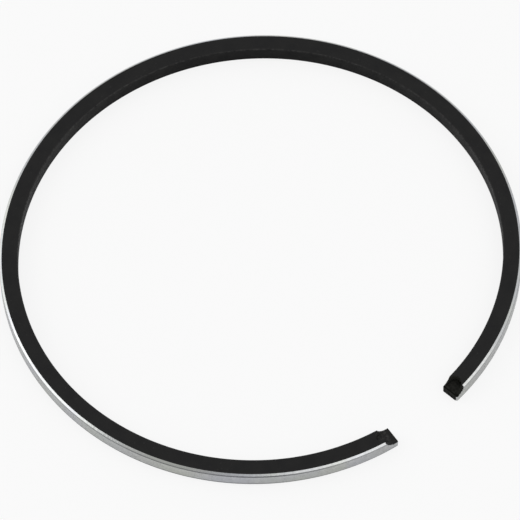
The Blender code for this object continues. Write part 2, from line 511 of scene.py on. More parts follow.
class RingTree:
    """Geometry nodes that bend a straight chain of sections into the free ring.

    Attributes:
        SLOT_CORNERS: Corners round the end of a slot, if it went all the way round.
        WELD: Distance within which the points of the swept ring are joined.
        CUT_DEPTH: How far a point has to be lowered to belong to a seat.
        ALL_PLATED: Plating value above which the whole of a face is plated.
        UPRIGHT_BELOW: Upward part of a normal below which a face counts as upright and gets the darker coat
            with painted shade.
    """

    SLOT_CORNERS = 96
    WELD = 0.0005 * MM
    CUT_DEPTH = 0.01 * MM
    ALL_PLATED = 0.99
    UPRIGHT_BELOW = 0.5

    def __init__(self, sizes: dict[str, float], finishes: dict[str, Material]) -> None:
        """Build the whole tree.

        Args:
            sizes: The ring's sizes, by the names of the tree's inputs.
            finishes: Its materials, by the names of the inputs.
        """
        inputs = {"Chain": ("NodeSocketGeometry", None), "Section": ("NodeSocketObject", None)}
        inputs |= {label: ("NodeSocketFloat", size) for label, size in sizes.items()}
        inputs |= {label: ("NodeSocketMaterial", None) for label in finishes}
        self.graph = new_group("bent_ring", "GeometryNodeTree", inputs, {"Ring": "NodeSocketGeometry"})
        self.given = self.graph.add("NodeGroupInput").outputs
        line = self.bend(self.given["Chain"])
        ring = self.press_seats(self.round_ends(self.sweep(line)))
        ring = self.cut_slots(self.spread_values(self.lay_pattern(ring)), line)
        self.dress(self.centre(ring))

    @property
    def tree(self) -> Tree:
        """The finished tree."""
        return self.graph.tree

    def named(self, attribute: Attribute) -> Socket:
        """A value that the mesh carries."""
        return self.graph.out("GeometryNodeInputNamedAttribute", {"Name": attribute.value})

    def heading(self, place: Socket) -> Socket:
        """How far the free ring has turned from its back at a place along it.

        Args:
            place: Distance from the back, along the ring.

        Returns:
            The angle.
        """
        graph = self.graph
        angle = graph.math("DIVIDE", place, self.given["Closed Radius"])
        biased = graph.math("MULTIPLY_ADD", graph.math("SINE", angle), self.given["Back Bias"], angle)
        return graph.math("SUBTRACT", angle, graph.math("MULTIPLY", biased, self.given["Opening"]))

    def bend(self, chain: Socket) -> Socket:
        """Bend the chain into the free ring's middle line.

        Args:
            chain: A straight chain of points along X, with 0 at the ring's back.

        Returns:
            The bent chain, at half the ring's height, with each point's place along it kept.
        """
        graph = self.graph
        position = graph.out("GeometryNodeInputPosition")
        place = graph.split(position)[0]
        kept = self.store(chain, Attribute.ARC, place)
        index = graph.out("GeometryNodeInputIndex")
        before = graph.math("MAXIMUM", graph.math("SUBTRACT", index, 1), 0)
        last = graph.out("GeometryNodeFieldAtIndex", {"Value": place, "Index": before})
        back = graph.math("SUBTRACT", last, place)
        heading = self.heading(graph.math("MULTIPLY", graph.math("ADD", place, last), 0.5))
        move = graph.vector(
            graph.math("MULTIPLY", back, graph.math("COSINE", heading)),
            graph.math("MULTIPLY", back, graph.math("SINE", heading)),
            0.0,
        )
        summed = graph.add("GeometryNodeAccumulateField", {0: move}, data_type="FLOAT_VECTOR")
        lift = graph.vector(0.0, 0.0, graph.math("MULTIPLY", self.given["Height"], 0.5))
        bent = {"Geometry": kept, "Position": summed.outputs["Leading"], "Offset": lift}
        return graph.out("GeometryNodeSetPosition", bent)

    def end_inset(self, rounding: Socket) -> Socket:
        """How far the surface draws in where an end face's edge has this radius.

        Args:
            rounding: The radius.

        Returns:
            The distance, which is 0 away from the ends.
        """
        graph = self.graph
        from_back = graph.math("ABSOLUTE", self.named(Attribute.ARC))
        from_end = graph.math("SUBTRACT", self.given["Half Length"], from_back)
        rise = graph.math("MAXIMUM", graph.math("SUBTRACT", rounding, from_end), 0.0)
        flat = graph.math("SUBTRACT", graph.math("POWER", rounding, 2), graph.math("POWER", rise, 2))
        return graph.math("SUBTRACT", rounding, graph.math("SQRT", graph.math("MAXIMUM", flat, 0.0)))

    def sweep(self, chain: Socket) -> Socket:
        """Run the wall's section along the bent chain.

        Args:
            chain: The bent chain.

        Returns:
            The closed ring body, with square ends.
        """
        graph = self.graph
        line = graph.out("GeometryNodeMeshToCurve", {"Mesh": chain})
        level = graph.out("GeometryNodeSetCurveNormal", {"Curve": line}, mode="Z_UP")
        profile = graph.add("GeometryNodeObjectInfo", {"Object": self.given["Section"]}).outputs["Geometry"]
        loop = graph.out("GeometryNodeMeshToCurve", {"Mesh": profile})
        swept = {"Curve": level, "Profile Curve": loop, "Fill Caps": True}
        return graph.out("GeometryNodeCurveToMesh", swept)

    def round_ends(self, ring: Socket) -> Socket:
        """Draw the ring in towards its two end faces, more on the plated side than on the others.

        Args:
            ring: The swept ring.

        Returns:
            The ring with rounded ends.
        """
        graph = self.graph
        edge = self.end_inset(self.given["End Rounding"])
        corner = self.end_inset(self.given["Corner Rounding"])
        across = self.named(Attribute.ACROSS)
        plated_side = graph.math("GREATER_THAN", across, 0.0)
        widening = graph.math("SUBTRACT", corner, edge)
        inset = graph.math("MULTIPLY_ADD", plated_side, widening, edge)
        share = graph.math("DIVIDE", across, self.given["Half Wall"])
        inwards = graph.math("MULTIPLY", inset, share)
        heading = self.heading(self.named(Attribute.ARC))
        position = graph.out("GeometryNodeInputPosition")
        up = graph.split(position)[2]
        middle = graph.math("MULTIPLY", self.given["Height"], 0.5)
        level = graph.math("SUBTRACT", 1.0, graph.math("DIVIDE", up, middle))
        move = graph.vector(
            graph.math("MULTIPLY", inwards, graph.math("SINE", heading)),
            graph.math("MULTIPLY", graph.math("MULTIPLY", inwards, -1), graph.math("COSINE", heading)),
            graph.math("MULTIPLY", edge, level),
        )
        return graph.out("GeometryNodeSetPosition", {"Geometry": ring, "Offset": move})

    def seat_floor(self, middle: Value) -> Socket:
        """Height of a trough's floor.

        Args:
            middle: Place of the trough's middle along the ring.

        Returns:
            The height, which lies above the ring's upper flank away from the trough.
        """
        graph = self.graph
        away = graph.math("SUBTRACT", self.named(Attribute.ARC), middle)
        radius = self.given["Seat Radius"]
        squares = [graph.math("MULTIPLY", length, length) for length in (radius, away)]
        flat = graph.math("SUBTRACT", *squares)
        depth = graph.math("SQRT", graph.math("MAXIMUM", flat, 0.0))
        return graph.math("SUBTRACT", self.given["Seat Axis"], depth)

    def press_seats(self, ring: Socket) -> Socket:
        """Lower the upper side of the ring to the floors of the two troughs.

        Args:
            ring: The swept ring.

        Returns:
            The ring with its troughs, and with how far each point was lowered kept on it.
        """
        graph = self.graph
        position = graph.out("GeometryNodeInputPosition")
        x, y, z = graph.split(position)
        floors = [self.seat_floor(self.given[seat]) for seat in ("Left Seat", "Right Seat")]
        inset = self.end_inset(self.given["End Rounding"])
        floor = graph.math("SUBTRACT", graph.math("MINIMUM", *floors), inset)
        lowered = graph.math("SMOOTH_MIN", z, floor, self.given["Seat Rim"])
        kept = self.store(ring, Attribute.SEAT, graph.math("SUBTRACT", z, lowered))
        pressed = {"Geometry": kept, "Position": graph.vector(x, y, lowered)}
        weld = {"Geometry": graph.out("GeometryNodeSetPosition", pressed), "Distance": self.WELD}
        return graph.out("GeometryNodeMergeByDistance", weld)

    def store(self, geometry: Value, attribute: Attribute, value: Value, **settings: str) -> Socket:
        """Keep a value on the mesh.

        Args:
            geometry: The mesh to keep it on.
            attribute: The name to keep it by.
            value: The value.
            **settings: Its type and domain, where it isn't a number at each point.

        Returns:
            The mesh with the value.
        """
        node = self.graph.add("GeometryNodeStoreNamedAttribute", **settings)
        for key, given in (("Geometry", geometry), ("Name", attribute.value), ("Value", value)):
            self.graph.feed(node.inputs[key], given)
        return node.outputs[0]

    def lay_pattern(self, ring: Socket) -> Socket:
        """Give the ring a UV map in metres: its length along the ring and its girth round the wall."""
        place = self.graph.vector(self.named(Attribute.ARC), self.named(Attribute.GIRTH), 0.0)
        return self.store(ring, Attribute.UV, place, data_type="FLOAT2", domain="CORNER")

    def spread_values(self, ring: Socket) -> Socket:
        """Keep each point's values on the corners of its faces too, so that they outlast a cut.

        Args:
            ring: The ring before its slots are cut.

        Returns:
            The ring with its values on points and on corners.
        """
        for attribute in (Attribute.ARC, Attribute.EDGE, Attribute.PLATED, Attribute.SEAT):
            ring = self.store(ring, attribute, self.named(attribute), domain="CORNER")
        return ring

    def slot_body(self, side: float) -> Socket:
        """Block with a round end that fills a slot, laid out at an end with its length along X.

        Args:
            side: 1 where the ring's body lies towards +X of the end, -1 where it lies towards -X.

        Returns:
            The block, joined from its round post and its bar.
        """
        graph, given = self.graph, self.given
        tall = graph.math("SUBTRACT", graph.math("MULTIPLY", given["Height"], 2.0), given["Slot Floor"])
        middle = graph.math("MULTIPLY_ADD", given["Slot Middle"], side, given["Seat Shift"])
        length = graph.math("MULTIPLY_ADD", given["Slot Middle"], 2.0, given["Slot Radius"])
        width = graph.math("MULTIPLY", given["Slot Radius"], 2.0)
        back = graph.math("MULTIPLY_ADD", length, -0.5 * side, middle)
        sizes = {"Vertices": self.SLOT_CORNERS, "Radius": given["Slot Radius"], "Depth": tall}
        post = graph.add("GeometryNodeMeshCylinder", sizes).outputs["Mesh"]
        sides = {"Size": graph.vector(length, width, tall)}
        bar = graph.add("GeometryNodeMeshCube", sides).outputs["Mesh"]
        up = graph.math("MULTIPLY_ADD", tall, 0.5, given["Slot Floor"])
        inwards = graph.math("MULTIPLY", given["Slot Shift"], -1.0)
        joined = graph.add("GeometryNodeMeshBoolean", operation="UNION", solver="EXACT")
        for piece, along in ((post, middle), (bar, back)):
            graph.feed(joined.inputs["Mesh 2"], self.move(piece, graph.vector(along, inwards, up)))
        return joined.outputs[0]

    def move(self, mesh: Value, place: Value, turn: Value = 0.0) -> Socket:
        """Turn a mesh about Z and move it.

        Args:
            mesh: The mesh.
            place: Where its origin comes to lie.
            turn: How far it is turned.

        Returns:
            The moved mesh.
        """
        graph = self.graph
        turned = graph.out("FunctionNodeEulerToRotation", {0: graph.vector(0.0, 0.0, turn)})
        given = {"Geometry": mesh, "Translation": place, "Rotation": turned}
        return graph.out("GeometryNodeTransform", given)

    def cut_slots(self, ring: Value, line: Value) -> Socket:
        """Cut the slot at each end.

        Args:
            ring: The ring with its troughs.
            line: The ring's bent middle line, from the right end to the left one.

        Returns:
            The ring with both slots, and with their place and a depth kept on the slots' faces.
        """
        graph = self.graph
        count = graph.out("GeometryNodeAttributeDomainSize", {"Geometry": line}, component="MESH")
        position = graph.out("GeometryNodeInputPosition")
        down = graph.vector(0.0, 0.0, graph.math("MULTIPLY", self.given["Height"], -0.5))
        cut = graph.add("GeometryNodeMeshBoolean", {"Mesh 1": ring}, operation="DIFFERENCE", solver="EXACT")
        for side, place in ((-1.0, 0), (1.0, graph.math("SUBTRACT", count, 1))):
            found = {"Geometry": line, "Value": position, "Index": place}
            end = graph.out("GeometryNodeSampleIndex", found, data_type="FLOAT_VECTOR")
            foot = graph.out("ShaderNodeVectorMath", {0: end, 1: down}, operation="ADD")
            end_arc = graph.math("MULTIPLY", self.given["Half Length"], side)
            body = self.slot_body(side)
            for attribute, value in ((Attribute.SEAT, self.given["Slot Floor"]), (Attribute.ARC, end_arc)):
                body = self.store(body, attribute, value, domain="CORNER")
            graph.feed(cut.inputs["Mesh 2"], self.move(body, foot, self.heading(end_arc)))
        return cut.outputs[0]

    def centre(self, ring: Socket) -> Socket:
        """Move the ring so that the origin lies below the middle of its outline.

        Args:
            ring: The finished shape.

        Returns:
            The moved ring.
        """
        graph = self.graph
        box = graph.add("GeometryNodeBoundBox", {"Geometry": ring}).outputs
        both = graph.out("ShaderNodeVectorMath", {0: box["Min"], 1: box["Max"]}, operation="ADD")
        terms = {0: both, 1: (-0.5, -0.5, 0.0)}
        offset = graph.out("ShaderNodeVectorMath", terms, operation="MULTIPLY")
        return graph.out("GeometryNodeSetPosition", {"Geometry": ring, "Offset": offset})

    def dress(self, ring: Socket) -> None:
        """Give the ring its finishes, each one over those before it, and hand it out. The upright faces get
        a darker copy of the coat with painted shade, and the seats copies with painted light and shade.

        Args:
            ring: The ring in its place.
        """
        graph = self.graph
        plain = graph.out("GeometryNodeRealizeInstances", {"Geometry": ring})
        dressed = graph.out("GeometryNodeSetMaterial", {"Geometry": plain, "Material": self.given["Black"]})
        whole = graph.math("GREATER_THAN", self.named(Attribute.PLATED), self.ALL_PLATED)
        uncut = graph.math("LESS_THAN", self.named(Attribute.SEAT), self.CUT_DEPTH)
        sunk = graph.math("SUBTRACT", 1.0, uncut)
        at_left = graph.math("GREATER_THAN", self.named(Attribute.ARC), 0.0)
        # Upright faces are picked by their normal for the darker coat with painted shade.
        normal = graph.out("GeometryNodeInputNormal")
        level = graph.math("ABSOLUTE", graph.split(normal)[2])
        selections = {
            "Upright": graph.math("LESS_THAN", level, self.UPRIGHT_BELOW),
            "Plated": graph.math("MULTIPLY", whole, uncut),
            "Right Pocket": sunk,
            "Left Pocket": graph.math("MULTIPLY", sunk, at_left),
        }
        for finish, selection in selections.items():
            given = {"Geometry": dressed, "Selection": selection, "Material": self.given[finish]}
            dressed = graph.out("GeometryNodeSetMaterial", given)
        graph.add("NodeGroupOutput", {"Ring": dressed})


@dataclass(frozen=True)
class CompressionRing:
    """The whole ring.

    Attributes:
        closed: Its sizes when closed to the bore.
        free: How it springs open.
        section: The shape of its wall.
        seats: Its pin seats.
        ends: Its end faces.
        sharp_angle: Angle from which an edge is shown sharp.
    """

    closed: ClosedRing = ClosedRing()
    free: FreeShape = FreeShape()
    section: WallSection = WallSection()
    seats: PinSeats = PinSeats()
    ends: Ends = Ends()
    sharp_angle: float = math.radians(16.0)

    def chain(self) -> bpy.types.Object:
        """Straight chain of points, one for each section along the ring.

        Returns:
            The chain, as an object of points and edges.
        """
        places = self.ends.stations(self.closed, self.seats)
        links = [(index, index + 1) for index in range(len(places) - 1)]
        return self.wire("ring_chain", [(place, 0.0, 0.0) for place in places], links)

    def section_loop(self) -> bpy.types.Object:
        """Closed loop of the wall's section, with its finish and girth at each point.

        Returns:
            The loop, as an object of points and edges.
        """
        points = self.section.outline(self.closed)[::-1]
        middle = 0.5 * self.closed.height
        places = [(point.across, middle - point.up, 0.0) for point in points]
        links = [(index, (index + 1) % len(points)) for index in range(len(points))]
        loop = self.wire("ring_section", places, links)
        girth = [0.0]
        for place, after in zip(places, places[1:]):
            girth.append(girth[-1] + math.dist(place, after))
        layers = {
            Attribute.ACROSS: [point.across for point in points],
            Attribute.GIRTH: girth,
            Attribute.PLATED: [point.surface.value for point in points],
            Attribute.EDGE: [point.edge for point in points],
        }
        for name, values in layers.items():
            layer = loop.data.attributes.new(name.value, "FLOAT", "POINT")
            layer.data.foreach_set("value", values)
        return loop

    @staticmethod
    def wire(name: str, places: list[tuple], links: list[tuple]) -> bpy.types.Object:
        """An object of points and edges.

        Args:
            name: The object's name.
            places: The points.
            links: Pairs of points that an edge joins.

        Returns:
            The object, linked to the scene.
        """
        mesh = bpy.data.meshes.new(name)
        mesh.from_pydata(places, links, [])
        return linked(name, mesh)

    def sizes(self) -> dict[str, float]:
        """Values of the ring tree's size inputs."""
        half = self.closed.half_length
        return {
            "Closed Radius": self.closed.radius,
            "Half Length": half,
            "Half Wall": 0.5 * self.closed.wall,
            "Height": self.closed.height,
            "Opening": self.free.opening(self.closed),
            "Back Bias": self.free.back_bias,
            "End Rounding": self.ends.rounding,
            "Corner Rounding": self.ends.corner,
            "Seat Radius": self.seats.radius,
            "Seat Shift": self.seats.shift,
            "Slot Radius": self.seats.slot_radius,
            "Slot Middle": self.seats.slot_middle,
            "Slot Shift": self.seats.slot_shift,
            "Slot Floor": self.seats.slot_floor,
            "Seat Axis": self.seats.axis_up,
            "Left Seat": half - self.seats.shift,
            "Right Seat": -half - self.seats.shift,
            "Seat Rim": self.seats.rim,
        }

    def build(self, finishes: dict[str, Material]) -> bpy.types.Object:
        """Build the ring as one plain mesh.

        Args:
            finishes: Its materials: black for the flanks, upright, a darker copy with painted shade, for
                the bore side and the ends, one for each seat with painted light and shade, and plated for
                the running face and its edges.

        Returns:
            The finished ring, at the origin.
        """
        chain, loop, sizes = self.chain(), self.section_loop(), self.sizes()
        tree = RingTree(sizes, finishes).tree
        inputs = sizes | {"Section": loop} | finishes
        bend = chain.modifiers.new("bend", "NODES")
        bend.node_group = tree
        for socket in tree.interface.items_tree:
            if socket.name in inputs:
                bend[socket.identifier] = inputs[socket.name]
        graph = bpy.context.evaluated_depsgraph_get()
        mesh = bpy.data.meshes.new_from_object(chain.evaluated_get(graph))
        chain.modifiers.clear()
        for helper in (chain, loop):
            bpy.data.objects.remove(helper, do_unlink=True)
        mesh.name = "compression_ring"
        mesh.shade_smooth()
        mesh.set_sharp_from_angle(angle=self.sharp_angle)
        return linked(mesh.name, mesh)


class Effects:
    """Shader node groups that the finishes use, each built once."""

    def __init__(self) -> None:
        """Build the groups."""
        self.grain = self.build_grain()
        self.lines = self.build_lines()
        self.specks = self.build_specks()
        self.wear = self.build_wear()

    @staticmethod
    def start(name: str, numbers: dict[str, float]) -> tuple[Graph, bpy.types.NodeOutputs]:
        """Start a group that takes a place and some numbers and puts out a mask.

        Args:
            name: The group's name.
            numbers: Starting value of each number, by its name.

        Returns:
            The graph of the group, and the sockets that its inputs come from.
        """
        inputs = {"Place": ("NodeSocketVector", None)}
        inputs |= {label: ("NodeSocketFloat", value) for label, value in numbers.items()}
        graph = new_group(name, "ShaderNodeTree", inputs, {"Mask": "NodeSocketFloat"})
        return graph, graph.add("NodeGroupInput").outputs

    @staticmethod
    def close(graph: Graph, mask: Socket) -> Tree:
        """Put a group's mask out and hand out its tree."""
        graph.add("NodeGroupOutput", {"Mask": mask})
        return graph.tree

    def build_grain(self) -> Tree:
        """Soft round patches of one size, drawn from noise.

        Returns:
            The group.
        """
        graph, given = self.start("grain", {"Size": MM, "Detail": 2.0, "Low": 0.3, "High": 0.7})
        scale = graph.math("DIVIDE", 1.0, given["Size"])
        noise = {"Vector": given["Place"], "Scale": scale, "Detail": given["Detail"]}
        level = graph.out("ShaderNodeTexNoise", noise)
        return self.close(graph, graph.remap(level, given["Low"], given["High"]))

    def build_lines(self) -> Tree:
        """Long thin marks that run along the ring, as grinding and lapping leave them.

        Returns:
            The group.
        """
        graph, given = self.start("marks_along", {"Length": MM, "Width": MM, "Low": 0.3, "High": 0.7})
        along, round_wall, _ = graph.split(given["Place"])
        u = graph.math("DIVIDE", along, given["Length"])
        v = graph.math("DIVIDE", round_wall, given["Width"])
        noise = {"Vector": graph.vector(u, v, 0.0), "Scale": 1.0, "Detail": 2.0}
        level = graph.out("ShaderNodeTexNoise", noise)
        return self.close(graph, graph.remap(level, given["Low"], given["High"]))

    def build_specks(self) -> Tree:
        """Small round specks or pits, in a share of the cells of an uneven net.

        Returns:
            The group.
        """
        graph, given = self.start("specks", {"Spacing": MM, "Radius": 0.2, "Share": 0.3})
        scale = graph.math("DIVIDE", 1.0, given["Spacing"])
        cells = graph.add("ShaderNodeTexVoronoi", {"Vector": given["Place"], "Scale": scale}).outputs
        luck = graph.out("ShaderNodeSeparateColor", {0: cells["Color"]})
        chosen = graph.math("LESS_THAN", luck, given["Share"])
        middle = graph.remap(cells["Distance"], given["Radius"], 0.0)
        return self.close(graph, graph.math("MULTIPLY", chosen, middle))

    def build_wear(self) -> Tree:
        """Where the coat is rubbed thin: along the edges of the wall and of the end faces, in patches.

        Returns:
            The group.
        """
        graph, given = self.start("edge_wear", {"Half Length": MM, "Reach": MM, "Patch": MM, "Amount": 0.5})
        from_back = graph.math("ABSOLUTE", graph.carried(Attribute.ARC))
        from_end = graph.math("SUBTRACT", given["Half Length"], from_back)
        near_end = graph.remap(from_end, given["Reach"], 0.0)
        exposed = graph.math("MAXIMUM", graph.carried(Attribute.EDGE), near_end)
        scale = graph.math("DIVIDE", 1.0, given["Patch"])
        noise = graph.out("ShaderNodeTexNoise", {"Vector": given["Place"], "Scale": scale, "Detail": 4.0})
        limit = graph.math("SUBTRACT", 1.0, given["Amount"])
        rubbed = graph.remap(noise, limit, 1.0)
        return self.close(graph, graph.math("MULTIPLY", exposed, rubbed))


class Finish:
    """A material in the making. Its colour, roughness and relief are laid on layer by layer."""

    def __init__(self, name: str, effects: Effects, colour: Colour, roughness: float) -> None:
        """Start a material with one even colour and roughness.

        Args:
            name: The material's name.
            effects: The shared effects.
            colour: Its colour.
            roughness: Its roughness.
        """
        self.material = bpy.data.materials.new(name)
        self.material.use_nodes = True
        self.graph = Graph(self.material.node_tree)
        self.shader = self.material.node_tree.nodes["Principled BSDF"]
        self.effects = effects
        self.place = self.graph.add("ShaderNodeTexCoord").outputs["Object"]
        self.pattern = self.graph.out("ShaderNodeUVMap", uv_map=Attribute.UV.value)
        self.colour: Value = (*colour, 1.0)
        self.roughness: Value = roughness
        self.normal: Socket | None = None

    def mask(self, tree: Tree, place: Value, **numbers: float) -> Socket:
        """Place one of the effects.

        Args:
            tree: The effect's group.
            place: What the effect is laid out on.
            **numbers: Its values, by the names of its inputs with underscores for spaces.

        Returns:
            Its mask, from 0 to 1.
        """
        node = self.graph.add("ShaderNodeGroup", node_tree=tree)
        self.graph.feed(node.inputs["Place"], place)
        for label, value in numbers.items():
            self.graph.feed(node.inputs[label.replace("_", " ")], value)
        return node.outputs["Mask"]

    def grain(self, **numbers: float) -> Socket:
        """Mask of patches in the metal, by the names of the group's inputs."""
        return self.mask(self.effects.grain, self.place, **numbers)

    def lines(self, **numbers: float) -> Socket:
        """Mask of marks along the ring, by the names of the group's inputs."""
        return self.mask(self.effects.lines, self.pattern, **numbers)

    def specks(self, **numbers: float) -> Socket:
        """Mask of specks, by the names of the group's inputs."""
        return self.mask(self.effects.specks, self.place, **numbers)

    def tint(self, mask: Value, share: Value, other: Colour) -> None:
        """Mix a share of another colour in where the mask is 1."""
        self.colour = self.graph.mix(self.graph.math("MULTIPLY", mask, share), self.colour, (*other, 1.0))

    def roughen(self, mask: Value, change: float) -> None:
        """Change the roughness by this much where the mask is 1."""
        self.roughness = self.graph.math("MULTIPLY_ADD", mask, change, self.roughness)

    def raise_by(self, mask: Value, height: float) -> None:
        """Raise the surface by this height where the mask is 1.

        Args:
            mask: The mask.
            height: The height, negative for a hollow.
        """
        inputs = {"Height": mask, "Strength": 1.0, "Distance": height}
        if self.normal is not None:
            inputs["Normal"] = self.normal
        self.normal = self.graph.out("ShaderNodeBump", inputs)

    def done(self, **constants: float) -> Material:
        """Feed the shader.

        Args:
            **constants: Its constant values, by the names of its inputs with underscores for spaces.

        Returns:
            The material.
        """
        layers = {"Base Color": self.colour, "Roughness": self.roughness, "Normal": self.normal}
        for label, value in (layers | constants).items():
            self.graph.feed(self.shader.inputs[label.replace("_", " ")], value)
        return self.material


@dataclass(frozen=True)
class BlackPhosphate:
    """Oiled black phosphate coat on cast iron.

    Attributes:
        name: Name of the material.
        deep: Colour of the coat where it is thick.
        thin: Colour of its crystals where it is thinner.
        pit: Painted shade: the darker colour at the bottom of its pits.
        side: Painted light: the lighter colour of a seat's upright sides, which stands in for the light
            that they catch.
        oil: Colour where a little oil stands on it.
        bare: Colour of the iron where the coat is rubbed through.
        roughness: How matt it is.
        sheen_level: Strength of its mirror, as the shader's specular level.
        cloudiness: Share of its crystals that thins out between the clouds.
        fleck_share: How far its flecks show bare iron.
        side_light_share: Share of the painted light's side colour that shows, none where there is no slot.
        trough_light_share: Part of that share that the sides of a trough show.
        floor_light_share: Part of that share that the floor of a slot shows.
        side_foot: Height above the lower flank where a slot's sides begin.
        side_blur: Distance over which their colour comes in.
    """

    name: str = "black_phosphate"
    deep: Colour = (0.0044, 0.0044, 0.0047)
    thin: Colour = (0.0120, 0.0120, 0.0125)
    pit: Colour = (0.0030, 0.0030, 0.0028)
    side: Colour = (0.040, 0.040, 0.037)
    oil: Colour = (0.012, 0.0115, 0.009)
    bare: Colour = (0.085, 0.083, 0.080)
    roughness: float = 0.5
    sheen_level: float = 0.22
    cloudiness: float = 0.7
    fleck_share: float = 0.3
    side_light_share: float = 0.0
    trough_light_share: float = 0.0
    floor_light_share: float = 0.0
    side_foot: float = 0.83 * MM
    side_blur: float = 0.05 * MM

    def material(self, effects: Effects, half_length: float) -> Material:
        """Build the material.

        Args:
            effects: The shared effects.
            half_length: Length of the ring's middle line from its back to either end.

        Returns:
            The material.
        """
        made = Finish(self.name, effects, self.deep, self.roughness)
        crystals = made.grain(Size=0.035 * MM, Detail=3.0)
        clouds = made.grain(Size=1.1 * MM, Detail=4.0, Low=0.35, High=0.75)
        marks = made.lines(Length=2.5 * MM, Width=0.05 * MM, Low=0.45, High=0.8)
        pits = made.specks(Spacing=0.22 * MM, Radius=0.28, Share=0.3)
        flecks = made.specks(Spacing=0.31 * MM, Radius=0.22, Share=0.16)
        wear = {"Half_Length": half_length, "Reach": 0.07 * MM, "Patch": 0.25 * MM, "Amount": 0.62}
        rubbed = made.mask(effects.wear, made.place, **wear)
        clouded = made.graph.math("MULTIPLY_ADD", clouds, self.cloudiness, 1.0 - self.cloudiness)
        made.tint(crystals, clouded, self.thin)
        made.tint(marks, share=0.35, other=self.thin)
        made.tint(clouds, share=0.25, other=self.oil)
        # Painted light: the seats' upright sides are lightened from the slot floor's height upwards.
        if self.side_light_share:
            made.tint(self.painted_seat_light(made), self.side_light_share, self.side)
        # Painted shade at the bottom of the pits.
        made.tint(pits, share=0.5, other=self.pit)
        made.tint(flecks, self.fleck_share, self.bare)
        made.tint(rubbed, share=0.75, other=self.bare)
        made.roughen(clouds, change=-0.08)
        made.roughen(rubbed, change=-0.1)
        made.raise_by(clouds, height=0.003 * MM)
        made.raise_by(marks, height=0.0006 * MM)
        made.raise_by(crystals, height=0.0025 * MM)
        made.raise_by(pits, height=-0.006 * MM)
        return made.done(Specular_IOR_Level=self.sheen_level)

    def painted_seat_light(self, made: Finish) -> Socket:
        """Mask of a seat's painted light: full on a slot's sides, and less on its floor and on the trough.

        Args:
            made: The material in the making.

        Returns:
            The mask.
        """
        graph = made.graph
        up = graph.split(made.place)[2]
        above = graph.remap(up, self.side_foot, self.side_foot + self.side_blur)
        slot_depth = self.side_foot - self.side_blur
        slot = graph.remap(graph.carried(Attribute.SEAT), slot_depth - self.side_blur, slot_depth)
        in_slot = graph.math("MULTIPLY", slot, graph.math("MAXIMUM", above, self.floor_light_share))
        return graph.math("MAXIMUM", in_slot, graph.math("MULTIPLY", above, self.trough_light_share))


# Painted shade: a darker copy of the black coat for the upright faces, the bore side and the ends.
UPRIGHT_COAT_PAINTED_SHADE = BlackPhosphate(
    name="upright_phosphate",
    deep=(0.0026, 0.0026, 0.0028),
    thin=(0.0075, 0.0075, 0.0080),
    sheen_level=0.10,
)
# Painted light on the left seat's slot sides; the rest of its coat is a little darker than the flanks'.
LEFT_POCKET_PAINTED_LIGHT = BlackPhosphate(
    name="left_pocket",
    deep=(0.0036, 0.0036, 0.0031),
    thin=(0.0100, 0.0100, 0.0086),
    side=(0.052, 0.052, 0.048),
    fleck_share=0.15,
    side_light_share=0.75,
)
# Painted shade: a darker copy of the seat coat for the right seat, with painted light on its slot and
# trough sides.
RIGHT_POCKET_PAINTED_SHADE = BlackPhosphate(
    name="right_pocket",
    deep=(0.0020, 0.0021, 0.0014),
    thin=(0.0042, 0.0043, 0.0031),
    side=(0.034, 0.034, 0.030),
    oil=(0.004, 0.004, 0.003),
    bare=(0.046, 0.046, 0.042),
    roughness=0.65,
    sheen_level=0.05,
    fleck_share=0.08,
    side_light_share=0.9,
    trough_light_share=0.4,
    floor_light_share=0.22,
)


